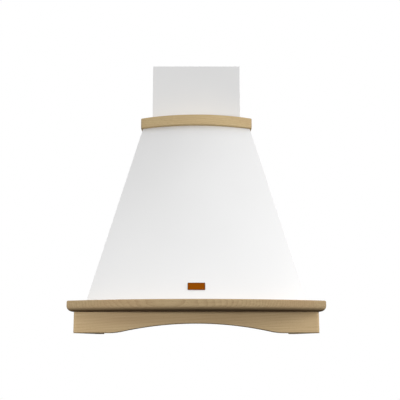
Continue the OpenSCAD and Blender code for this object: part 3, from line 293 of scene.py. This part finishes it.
def pick_folds(piece, wanted):
    """Opens a piece in edit mode with only those edges selected where two faces with wanted normals
    meet. wanted is given the edge's middle, in mm, and both normals."""
    make_active(piece)
    bpy.ops.object.mode_set(mode="EDIT")
    bpy.ops.mesh.select_mode(type="EDGE")
    bpy.ops.mesh.select_all(action="DESELECT")
    bpy.ops.object.mode_set(mode="OBJECT")
    meeting = {}
    for face in piece.data.polygons:
        for key in face.edge_keys:
            meeting.setdefault(key, []).append(face.normal)
    for edge in piece.data.edges:
        normals = meeting.get(tuple(sorted(edge.vertices)), [])
        ends = [piece.data.vertices[v].co / mm for v in edge.vertices]
        edge.select = len(normals) == 2 and bool(wanted((ends[0] + ends[1]) / 2, *normals))
    bpy.ops.object.mode_set(mode="EDIT")


# The share of a normal along an axis from which a face counts as facing that way: squarely, or mainly.
squarely, mainly = 0.9, 0.5


def rounded_rim(piece, up, radius):
    """Rounds a board's outer upper edge (up is 1) or outer lower edge (up is -1), in mm."""
    upright = 0.3

    def outer_edge(middle, one, other):
        flat, wall = sorted((one, other), key=lambda normal: -normal.z * up)
        outward = wall.y < -mainly or wall.x * middle.x > 0 and abs(wall.x) > squarely
        return flat.z * up > squarely and abs(wall.z) < upright and outward

    pick_folds(piece, outer_edge)
    bpy.ops.mesh.bevel(offset=radius * mm, offset_type="OFFSET", segments=5, affect="EDGES")
    bpy.ops.object.mode_set(mode="OBJECT")


along_x, along_y = (0, 0, 0), (0, 0, 90)
cornice_front_beech = beech("beech_cornice_front", "#bfa883", "#907755", along_x,
                            ring_turn=(4, 0, 6), ring_gap=2.6, ring_share=0.3)
cornice_side_beech = beech("beech_cornice_side", "#bda782", "#957c59", along_y,
                           ring_turn=(20, 0, 4), ring_gap=4.0)
skirt_front_beech = beech("beech_skirt_front", "#ddc399", "#b59569", along_x,
                          ring_turn=(70, 0, 3), ring_gap=6.0, ring_share=0.2)
skirt_side_beech = beech("beech_skirt_side", "#d2bb94", "#aa8e66", along_y,
                         ring_turn=(65, 0, 2), ring_gap=6.0, ring_share=0.25)
board_edge, cornice_top_round, skirt_under_round = 1.2, 3, 3
for node, name, wood in (
    ("cornice_front", "cornice_front_board", cornice_front_beech),
    ("cornice_left", "cornice_left_board", cornice_side_beech),
    ("cornice_right", "cornice_right_board", cornice_side_beech),
    ("valance_front", "arched_front_board", skirt_front_beech),
    ("skirt_left", "skirt_left_board", skirt_side_beech),
    ("skirt_right", "skirt_right_board", skirt_side_beech),
    ("corner_blocks", "glue_blocks", skirt_side_beech),
):
    board = copied(node, name)
    if "cornice" in node:
        rounded_rim(board, up=1, radius=cornice_top_round)
    elif node != "corner_blocks":
        rounded_rim(board, up=-1, radius=skirt_under_round)
    broken_edges(board, board_edge)
    # Where a round edge ends, the broken edge's corner hangs a hair too low, and is set level again.
    board_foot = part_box(node)[0].z
    for corner in board.data.vertices:
        corner.co.z = max(corner.co.z, board_foot)
    smoothed(board)
    fitted(board, "hood", "beech", wood, node)


# The canopy: one sheet of steel, folded to a tapered front that bows out and two flat sides, and powder
# coated white with a satin sheen. Screws through its turned-in lower flange hold it on the cornice.
def pick_faces(piece, wanted):
    """Opens a piece in edit mode with only those faces selected whose centre, in mm, and normal are
    wanted."""
    make_active(piece)
    bpy.ops.object.mode_set(mode="EDIT")
    bpy.ops.mesh.select_mode(type="FACE")
    bpy.ops.mesh.select_all(action="DESELECT")
    bpy.ops.object.mode_set(mode="OBJECT")
    for face in piece.data.polygons:
        face.select = bool(wanted(face.center / mm, face.normal))
    bpy.ops.object.mode_set(mode="EDIT")


def front_fold(middle, one, other):
    """True for the outer edge between a side, which faces away from the middle, and the front."""
    side, front = sorted((one, other), key=lambda normal: -abs(normal.x))
    return side.x * middle.x > 0 and abs(side.x) > squarely and front.y < -mainly


def rounded_folds(piece, radius):
    """Gives the two front folds of a sheet their bending radius, in mm."""
    pick_folds(piece, front_fold)
    bpy.ops.mesh.bevel(offset=radius * mm, offset_type="OFFSET", segments=4, affect="EDGES")
    bpy.ops.object.mode_set(mode="OBJECT")


def powder_coat(name, dark, light):
    """Satin powder coat: an even white, faintly clouded over 200 mm, with the orange peel of the fused
    powder, 2 mm apart."""
    peel_gap, cloud_scale = 2, 5
    material, tree, surface, place = new_finish(name, Roughness=0.45, IOR=1.5)
    cloud = add_node(tree, "TexNoise", {
        "Vector": place, "Scale": cloud_scale, "Detail": 2}).outputs["Fac"]
    shade = add_node(tree, "Mix", {0: cloud, 6: linear(dark), 7: linear(light)},
                     data_type="RGBA").outputs[2]
    tree.links.new(shade, surface.inputs["Base Color"])
    dimples = add_node(tree, "TexNoise", {
        "Vector": place, "Scale": 1 / (peel_gap * mm), "Detail": 1}).outputs["Fac"]
    peel = add_node(tree, "Bump", {
        "Strength": 0.2, "Distance": 0.03 * mm, "Height": dimples}).outputs[0]
    tree.links.new(peel, surface.inputs["Normal"])
    return material


canopy_fold = 1.2
white_coat = powder_coat("satin_white_powder_coat", "#ebebeb", "#f0f0f0")
canopy = copied("body_shell", "canopy_sheet")
rounded_folds(canopy, canopy_fold)
smoothed(canopy)
fitted(canopy, "hood", "white_paint", white_coat, "body_shell")


# The nameplate: a small stamped plate of copper-coloured metal, bare, with a raised and darker rim. It
# is glued on the canopy's front.
rim_width, rim_slope, rim_height, plate_edge = 1.0, 0.2, 0.4, 0.1
plate = copied("nameplate", "bare_nameplate")
pick_faces(plate, lambda centre, normal: normal.y < -mainly)
bpy.ops.mesh.inset(thickness=rim_width * mm, depth=0)
bpy.ops.mesh.inset(thickness=rim_slope * mm, depth=-rim_height * mm)
bpy.ops.object.mode_set(mode="OBJECT")
broken_edges(plate, plate_edge, steps=2)
smoothed(plate)


def copper_tone(name, dark, light, rough):
    """Copper-coloured metal, finely brushed from side to side: strokes 17 mm long and 0.4 mm high under
    clear lacquer."""
    material, tree, surface, place = new_finish(name, Metallic=1.0, Roughness=rough)
    lines = add_node(tree, "Mapping", {"Vector": place, "Scale": (60, 60, 2500)}).outputs[0]
    strokes = add_node(tree, "TexNoise", {"Vector": lines, "Scale": 1, "Detail": 2}).outputs["Fac"]
    metal = add_node(tree, "Mix", {0: strokes, 6: linear(dark), 7: linear(light)},
                     data_type="RGBA").outputs[2]
    tree.links.new(metal, surface.inputs["Base Color"])
    bump = add_node(tree, "Bump", {
        "Strength": 0.2, "Distance": 0.02 * mm, "Height": strokes}).outputs[0]
    tree.links.new(bump, surface.inputs["Normal"])
    return material


plate.data.materials.append(copper_tone("copper_plate_rim", "#4f2d0c", "#673c12", rough=0.45))
plate.data.materials.append(copper_tone("copper_plate_field", "#804004", "#9c5207", rough=0.38))
plate_low, plate_high = [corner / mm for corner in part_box("nameplate")]
plate_middle = (plate_low + plate_high) / 2
field = (plate_high - plate_low) / 2 - Vector((rim_width, 0, rim_width))
pick_faces(plate, lambda centre, normal: normal.y < -mainly and abs(centre.x) < field.x
           and abs(centre.z - plate_middle.z) < field.z)
plate.active_material_index = 1
bpy.ops.object.material_slot_assign()
bpy.ops.object.mode_set(mode="OBJECT")
fitted(plate, "hood", "copper_plate", None, "nameplate")


# The collar: three small beech boards, mitred at the corners and glued, that close the canopy under the
# # chimney cover. Its underside gets only a little painted shade.
# How far painted shade darkens the collar's underside.
collar_painted_shade, collar_under_round = 0.2, 3
collar_front_beech = beech("beech_collar_front", "#d9c296", "#b5996d", along_x,
                           ring_turn=(62, 0, 4), ring_gap=5.0, ring_share=0.2, shade_depth=collar_painted_shade)
collar_side_beech = beech("beech_collar_side", "#cdb68c", "#aa9067", along_y,
                          ring_turn=(62, 0, 4), ring_gap=5.0, ring_share=0.2, shade_depth=collar_painted_shade)
for node, name, wood in (
    ("collar_front", "collar_front_board", collar_front_beech),
    ("collar_left", "collar_left_board", collar_side_beech),
    ("collar_right", "collar_right_board", collar_side_beech),
):
    board = copied(node, name)
    rounded_rim(board, up=-1, radius=collar_under_round)
    broken_edges(board, board_edge)
    smoothed(board)
    fitted(board, "hood", "beech", wood, node)


# The chimney cover: two folded steel sheets, powder coated like the canopy. The outer one stands on the
# top plate inside the collar, and the inner one slides up to the ceiling.
cover_fold = 1.0
for node, name, body in (
    ("chimney_outer", "chimney_cover", "hood"),
    ("chimney_inner", "chimney_cover_inner", "chimney_section"),
):
    cover = copied(node, name)
    rounded_folds(cover, cover_fold)
    smoothed(cover)
    fitted(cover, body, "white_paint", white_coat, node)


# The zinc-coated sheets that nobody sees from the front: the strip that ties the outer cover to the
# wall, the back plate that hangs on four screws, and the top plate that carries outlet and blower.
def zinc_coat(name, spangle):
    """Hot-dip galvanised sheet: grey zinc in crystals of spangle mm, each with its own sheen. Their
    edges bend by up to 2 mm, some 6 mm apart."""
    edge_bend = 4 * mm
    material, tree, surface, place = new_finish(name, Metallic=0.9)
    jitter = add_node(tree, "TexNoise", {"Vector": place, "Scale": 160, "Detail": 1}).outputs["Color"]
    crooked = add_node(tree, "VectorMath", {0: jitter, 1: (edge_bend, edge_bend, edge_bend), 2: place},
                       operation="MULTIPLY_ADD").outputs[0]
    crystals = add_node(tree, "TexVoronoi", {
        "Vector": crooked, "Scale": 1 / (spangle * mm)}).outputs["Color"]
    pick = add_node(tree, "SeparateColor", {0: crystals}).outputs[0]
    tone = add_node(tree, "Mix", {0: pick, 6: linear("#9fa4a8"), 7: linear("#bfc3c6")},
                    data_type="RGBA").outputs[2]
    tree.links.new(tone, surface.inputs["Base Color"])
    bright_rough, dull_rough = 0.34, 0.5
    sheen = add_node(tree, "MapRange", {
        0: pick, 1: 0, 2: 1, 3: bright_rough, 4: dull_rough}).outputs[0]
    tree.links.new(sheen, surface.inputs["Roughness"])
    return material


def dressed(node, name, body, slot_name, finish, edge, steps=3):
    """A piece that keeps its CAD node's shape, with its edges broken by that many millimetres."""
    piece = copied(node, name)
    broken_edges(piece, edge, steps)
    smoothed(piece)
    fitted(piece, body, slot_name, finish, node)


zinc = zinc_coat("galvanised_spangle_steel", spangle=8)
for node, name, edge in (
    ("chimney_strip", "wall_strip", 0.2),
    ("back_plate", "hanging_plate", 0.3),
    ("top_plate", "outlet_plate", 0.3),
):
    dressed(node, name, "hood", "zinc_steel", zinc, edge, steps=2)


# The bottom panel: stainless sheet, brushed from side to side, with openings for filters, lamps and
# buttons pressed out of it. Its turned-down rim is screwed to the skirt.
def brushed(name, dark, light, run, rough):
    """Brushed or rolled metal: fine straight scratches, in which run counts the scratches per metre
    along each axis. The pattern is turned about X, because noise shows its grid where a flat face lies
    along it."""
    off_grid = (0.6, 0, 0)
    bright_rough, dull_rough = rough - 0.07, rough + 0.1
    material, tree, surface, place = new_finish(name, Metallic=1.0)
    lines = add_node(tree, "Mapping", {
        "Vector": place, "Rotation": off_grid, "Scale": run}).outputs[0]
    scratches = add_node(tree, "TexNoise", {"Vector": lines, "Scale": 1, "Detail": 3}).outputs["Fac"]
    tone = add_node(tree, "Mix", {0: scratches, 6: linear(dark), 7: linear(light)},
                    data_type="RGBA").outputs[2]
    tree.links.new(tone, surface.inputs["Base Color"])
    sheen = add_node(tree, "MapRange", {
        0: scratches, 1: 0.3, 2: 0.7, 3: bright_rough, 4: dull_rough}).outputs[0]
    tree.links.new(sheen, surface.inputs["Roughness"])
    bump = add_node(tree, "Bump", {
        "Strength": 0.15, "Distance": 0.02 * mm, "Height": scratches}).outputs[0]
    tree.links.new(bump, surface.inputs["Normal"])
    return material


# Scratches 100 mm long and 1 mm apart, coarser than real ones so that they show.
stainless = brushed("brushed_stainless_steel", "#a3a29f", "#c4c3c0", run=(10, 900, 900), rough=0.33)
dressed("bottom_panel", "pressed_bottom_panel", "hood", "panel_steel", stainless, edge=0.35, steps=2)


# The grease filters: a folded aluminium frame round three layers of expanded aluminium, with a black
# pull at the front. Each hangs on two steel pins at the back and is held up by magnets in front.
# Rolling marks 100 mm long and 1.4 mm apart, and on the stretched strands a mottle of 4 mm.
aluminium = brushed("rolled_aluminium", "#b6b8ba", "#d0d2d3", run=(10, 700, 700), rough=0.38)
expanded = brushed("expanded_aluminium", "#a9abad", "#c6c8c9", run=(250, 250, 250), rough=0.42)


def moulded(name, dark, light, grain, depth, **values):
    """A moulded or cast surface: two close tones in a grain of grain mm, raised by depth mm."""
    material, tree, surface, place = new_finish(name, **values)
    grains = add_node(tree, "TexNoise", {
        "Vector": place, "Scale": 1 / (grain * mm), "Detail": 2}).outputs["Fac"]
    tone = add_node(tree, "Mix", {0: grains, 6: linear(dark), 7: linear(light)},
                    data_type="RGBA").outputs[2]
    tree.links.new(tone, surface.inputs["Base Color"])
    bump = add_node(tree, "Bump", {
        "Strength": 0.3, "Distance": depth * mm, "Height": grains}).outputs[0]
    tree.links.new(bump, surface.inputs["Normal"])
    return material


black_abs = moulded("black_abs_fine_grain", "#19191a", "#27282a", grain=0.8, depth=0.03,
                    Roughness=0.45, IOR=1.53)


def expanded_layer(low, high, level, mesh_long, mesh_short, strand):
    """A sheet of slit and stretched aluminium: diamonds mesh_long by mesh_short mm, with strands of
    strand mm."""
    width, depth = high.x - low.x, high.y - low.y
    middle = (low + high) / 2
    bpy.ops.mesh.primitive_grid_add(x_subdivisions=round(width / mesh_long),
                                    y_subdivisions=round(depth / mesh_short), size=1 * mm,
                                    location=(middle.x * mm, middle.y * mm, level * mm))
    layer = bpy.context.object
    make_active(layer)
    bpy.ops.object.mode_set(mode="EDIT")
    bpy.ops.mesh.select_all(action="SELECT")
    bpy.ops.transform.resize(value=(width - strand, depth - strand, 1))
    bpy.ops.mesh.poke()
    bpy.ops.object.mode_set(mode="OBJECT")
    bpy.ops.object.transform_apply(location=True, rotation=True, scale=True)
    # The grid's own lines go, all but its border, and the diagonals between its crossings and its
    # centres stay as the strands.
    points = [v.co / mm for v in layer.data.vertices]
    bpy.ops.object.mode_set(mode="EDIT")
    bpy.ops.mesh.select_mode(type="EDGE")
    bpy.ops.mesh.select_all(action="DESELECT")
    bpy.ops.object.mode_set(mode="OBJECT")
    level_enough = 0.01
    for edge in layer.data.edges:
        a, b = points[edge.vertices[0]], points[edge.vertices[1]]
        inside_x = low.x + strand < (a.x + b.x) / 2 < high.x - strand
        inside_y = low.y + strand < (a.y + b.y) / 2 < high.y - strand
        straight = abs(a.x - b.x) < level_enough or abs(a.y - b.y) < level_enough
        edge.select = inside_x and inside_y and straight
    bpy.ops.object.mode_set(mode="EDIT")
    bpy.ops.mesh.dissolve_edges(use_verts=False)
    bpy.ops.object.mode_set(mode="OBJECT")
    with_modifier(layer, "WIREFRAME", thickness=strand * mm, use_even_offset=False,
                  use_boundary=True)
    return layer


def joined(pieces):
    """Joins pieces into the first one."""
    bpy.ops.object.select_all(action="DESELECT")
    for piece in pieces:
        piece.select_set(True)
    bpy.context.view_layer.objects.active = pieces[0]
    bpy.ops.object.join()
    return pieces[0]


strand = 1.1
for side in ("left", "right"):
    body = f"filter_{side}"
    dressed(f"filter_frame_{side}", f"grease_filter_frame_{side}", body, "filter_aluminium", aluminium,
            edge=0.5)

    low, high = [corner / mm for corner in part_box(f"filter_mesh_{side}")]
    mesh = joined([expanded_layer(low, high, level, mesh_long, mesh_short, strand)
                   for level, mesh_long, mesh_short in (
                       (low.z + strand, 12, 6.5),
                       ((low.z + high.z) / 2, 7.5, 10),
                       (high.z - strand, 12, 6.5),
                   )])
    mesh.name = f"grease_filter_mesh_{side}"
    fitted(mesh, body, "filter_aluminium", expanded, f"filter_mesh_{side}")

    dressed(f"filter_pull_{side}", f"grease_filter_pull_{side}", body, "black_plastic", black_abs,
            edge=0.7)

ferrite = moulded("ferrite_magnet", "#2b2b2d", "#3c3c3f", grain=1.2, depth=0.02, Roughness=0.6)
turned_steel = brushed("zinc_plated_turned_steel", "#a8a9ab", "#c8c9ca", run=(1200, 1200, 1200),
                       rough=0.3)
dressed("filter_magnets", "filter_catch_magnets", "hood", "magnet", ferrite, edge=0.3, steps=2)
dressed("hinge_pins", "filter_hinge_pins", "hood", "bright_steel", turned_steel, edge=0.3, steps=2)


# The lamps: a turned stainless bezel, a pressed glass lens whose rings spread the light, and a bright
# steel can for the bulb behind it.
lamp_glass = moulded("satin_pressed_glass", "#eef2f2", "#f8fafa", grain=0.6, depth=0.03,
                     Roughness=0.16, IOR=1.5, Transmission_Weight=0.85)
lens_rim, ring_width, ring_depth, ring_pairs = 3, 1.5, 0.9, 7
bead_in, bead_width, bead_depth = 6, 1.5, 0.8
for side in ("left", "right"):
    dressed(f"lamp_bezel_{side}", f"lamp_ring_{side}", "hood", "panel_steel", stainless, edge=0.4)

    lens = copied(f"lamp_lens_{side}", f"lamp_glass_{side}")
    pick_faces(lens, lambda centre, normal: normal.z < -squarely)
    bpy.ops.mesh.inset(thickness=lens_rim * mm, depth=0)
    for way in (-1, 1) * ring_pairs:
        bpy.ops.mesh.inset(thickness=ring_width * mm, depth=way * ring_depth * mm)
    bpy.ops.object.mode_set(mode="OBJECT")
    smoothed(lens, sharp=25)
    fitted(lens, "hood", "lamp_glass", lamp_glass, f"lamp_lens_{side}")

    # The can's closed end has one bead pressed into it. Its face is what faces up at the very top.
    can = copied(f"lamp_housing_{side}", f"lamp_can_{side}")
    can_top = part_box(f"lamp_housing_{side}")[1].z / mm
    pick_faces(can, lambda centre, normal: normal.z > squarely and centre.z > can_top - 1)
    bpy.ops.mesh.inset(thickness=bead_in * mm, depth=0)
    bpy.ops.mesh.inset(thickness=bead_width * mm, depth=-bead_depth * mm)
    bpy.ops.mesh.inset(thickness=bead_width * mm, depth=0)
    bpy.ops.mesh.inset(thickness=bead_width * mm, depth=bead_depth * mm)
    bpy.ops.object.mode_set(mode="OBJECT")
    broken_edges(can, width=0.4, angle=60)
    smoothed(can)
    fitted(can, "hood", "panel_steel", stainless, f"lamp_housing_{side}")


# The controls: five grey push buttons, dished for the finger tip, in a black plate that covers their
# opening in the panel, with a moulded box over the switches.
dressed("control_plate", "button_plate", "hood", "black_plastic", black_abs, edge=0.4)
dressed("switch_box", "switch_cover", "hood", "black_plastic", black_abs, edge=1.0)

grey_abs = moulded("grey_abs_fine_grain", "#c6c8c8", "#d4d6d6", grain=0.8, depth=0.03,
                   Roughness=0.35, IOR=1.53)
cap_height, cap_round = 3, 0.9
dish_rings = ((0.8, 0.0), (0.8, 0.3), (1.2, 0.25), (1.6, 0.15))
quite_flat, touching = 0.999, 0.004
for number in range(1, 6):
    button = copied(f"button_{number}", f"push_button_{number}")
    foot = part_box(f"button_{number}")[0].z / mm
    pick_folds(button, lambda middle, one, other: middle.z < foot + cap_height)
    bpy.ops.mesh.bevel(offset=cap_round * mm, offset_type="OFFSET", segments=4, affect="EDGES")
    bpy.ops.object.mode_set(mode="OBJECT")
    # The dish: rings one inside the other, each with its width and its drop, in mm.
    pick_faces(button, lambda centre, normal: normal.z < -quite_flat and centre.z < foot + touching)
    for ring, drop in dish_rings:
        bpy.ops.mesh.inset(thickness=ring * mm, depth=-drop * mm)
    bpy.ops.object.mode_set(mode="OBJECT")
    smoothed(button)
    fitted(button, f"push_button_{number}", "grey_plastic", grey_abs, f"button_{number}")


# The blower: a zinc-coated scroll with an inlet ring on each side, and in it a moulded drum impeller on
# the shaft of an enamelled motor, which a bracket with three arms holds in the left inlet.
for node, name in (
    ("blower_scroll", "blower_scroll_band"),
    ("blower_side_left", "blower_side_plate_left"),
    ("blower_side_right", "blower_side_plate_right"),
    ("motor_bracket", "motor_arms"),
):
    dressed(node, name, "hood", "zinc_steel", zinc, edge=0.25, steps=2)

wheel = copied("impeller", "drum_impeller")
smoothed(wheel, sharp=35)
fitted(wheel, "rotor", "black_plastic", black_abs, "impeller")
dressed("motor_shaft", "steel_shaft", "rotor", "bright_steel", turned_steel, edge=0.5)

motor = copied("motor", "motor_case")
motor_low, motor_high = [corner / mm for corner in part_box("motor")]
motor_axis = (motor_low + motor_high) / 2
groove_count, groove_share, groove_half_length = 40, 0.62, 5
groove_wall, groove_depth = 0.3, 1.2


def in_groove(centre, normal):
    """True for the faces of the barrel that lie in one of its cooling grooves."""
    angle = math.atan2(centre.z - motor_axis.z, centre.y - motor_axis.y)
    barrel = abs(normal.x) < 0.1 and abs(centre.x - motor_axis.x) < groove_half_length
    return barrel and angle / math.tau * groove_count % 1 < groove_share


pick_faces(motor, in_groove)
bpy.ops.mesh.inset(thickness=groove_wall * mm, depth=-groove_depth * mm)
bpy.ops.object.mode_set(mode="OBJECT")
broken_edges(motor, width=0.3, steps=2, angle=60)
smoothed(motor)
enamel = moulded("black_baked_enamel", "#202327", "#2d3135", grain=1.5, depth=0.05, Roughness=0.35)
fitted(motor, "hood", "motor_enamel", enamel, "motor")

white_abs = moulded("white_capacitor_case", "#dcdcd8", "#e8e8e5", grain=0.8, depth=0.02,
                    Roughness=0.4, IOR=1.53)
dressed("capacitor", "run_capacitor", "hood", "white_plastic", white_abs, edge=0.8)
dressed("terminal_box", "terminal_cover", "hood", "black_plastic", black_abs, edge=1.0)


# The outlet: a spun, zinc-coated spigot for the duct, bolted to the top plate, with a check valve of
# two sheet flaps on one steel pin.
dressed("duct_spigot", "outlet_spigot", "hood", "zinc_steel", zinc, edge=0.4, steps=2)
for place in ("front", "rear"):
    dressed(f"valve_flap_{place}", f"check_flap_{place}", f"flap_{place}", "zinc_steel", zinc,
            edge=0.2, steps=2)
dressed("valve_pin", "flap_pin", "hood", "bright_steel", turned_steel, edge=0.3, steps=2)


# The cable gland: moulded of black plastic, held in the top plate by a nut on each side of it, with a
# tapered cap that has grips for the fingers.
gland = copied("cable_gland", "mains_gland")
gland_low, gland_high = [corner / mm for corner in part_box("cable_gland")]
gland_axis = (gland_low + gland_high) / 2
grip_count, grip_share, grip_height = 18, 0.5, 6
grip_wall, grip_depth = 0.15, 0.5


def in_grip(centre, normal):
    """True for the faces between two grips of the cap, which look away from its axis."""
    out = centre - gland_axis
    outward = normal.x * out.x + normal.y * out.y > 1
    between = math.atan2(out.y, out.x) / math.tau * grip_count % 1 < grip_share
    return outward and between and centre.z > gland_high.z - grip_height


pick_faces(gland, in_grip)
bpy.ops.mesh.inset(thickness=grip_wall * mm, depth=-grip_depth * mm)
bpy.ops.object.mode_set(mode="OBJECT")
broken_edges(gland, width=0.3, steps=2, angle=40)
smoothed(gland)
fitted(gland, "hood", "black_plastic", black_abs, "cable_gland")


# The screws: zinc-plated steel with pan heads, each with a cross recess. They hold the canopy, the
# panel, the outlet and the motor.
slot_long, slot_wide, slot_deep, head_edge = 4.2, 0.9, 1.1, 0.5


def cross_recesses(screws):
    """Cuts a cross into each head. A head's flat end is the only face of a screw over 35 mm2."""
    smallest_head = 35 * mm * mm
    heads = [(face.center.copy(), face.normal.copy()) for face in screws.data.polygons
             if face.area > smallest_head]
    broken_edges(screws, head_edge, angle=60)
    for wide, high in ((slot_long, slot_wide), (slot_wide, slot_long)):
        bits = []
        for centre, normal in heads:
            bpy.ops.mesh.primitive_cube_add(size=1, location=centre,
                                            rotation=normal.to_track_quat("Z", "Y").to_euler(),
                                            scale=(wide * mm, high * mm, 2 * slot_deep * mm))
            bits.append(bpy.context.object)
        cutter = joined(bits)
        with_modifier(screws, "BOOLEAN", object=cutter, operation="DIFFERENCE", solver="EXACT")
        bpy.data.objects.remove(cutter)


for node, name in (
    ("canopy_screws", "canopy_pan_screws"),
    ("panel_screws", "panel_pan_screws"),
    ("duct_screws", "outlet_bolts"),
    ("motor_screws", "motor_pan_screws"),
):
    screws = copied(node, name)
    cross_recesses(screws)
    smoothed(screws, sharp=40)
    fitted(screws, "hood", "bright_steel", turned_steel, node)
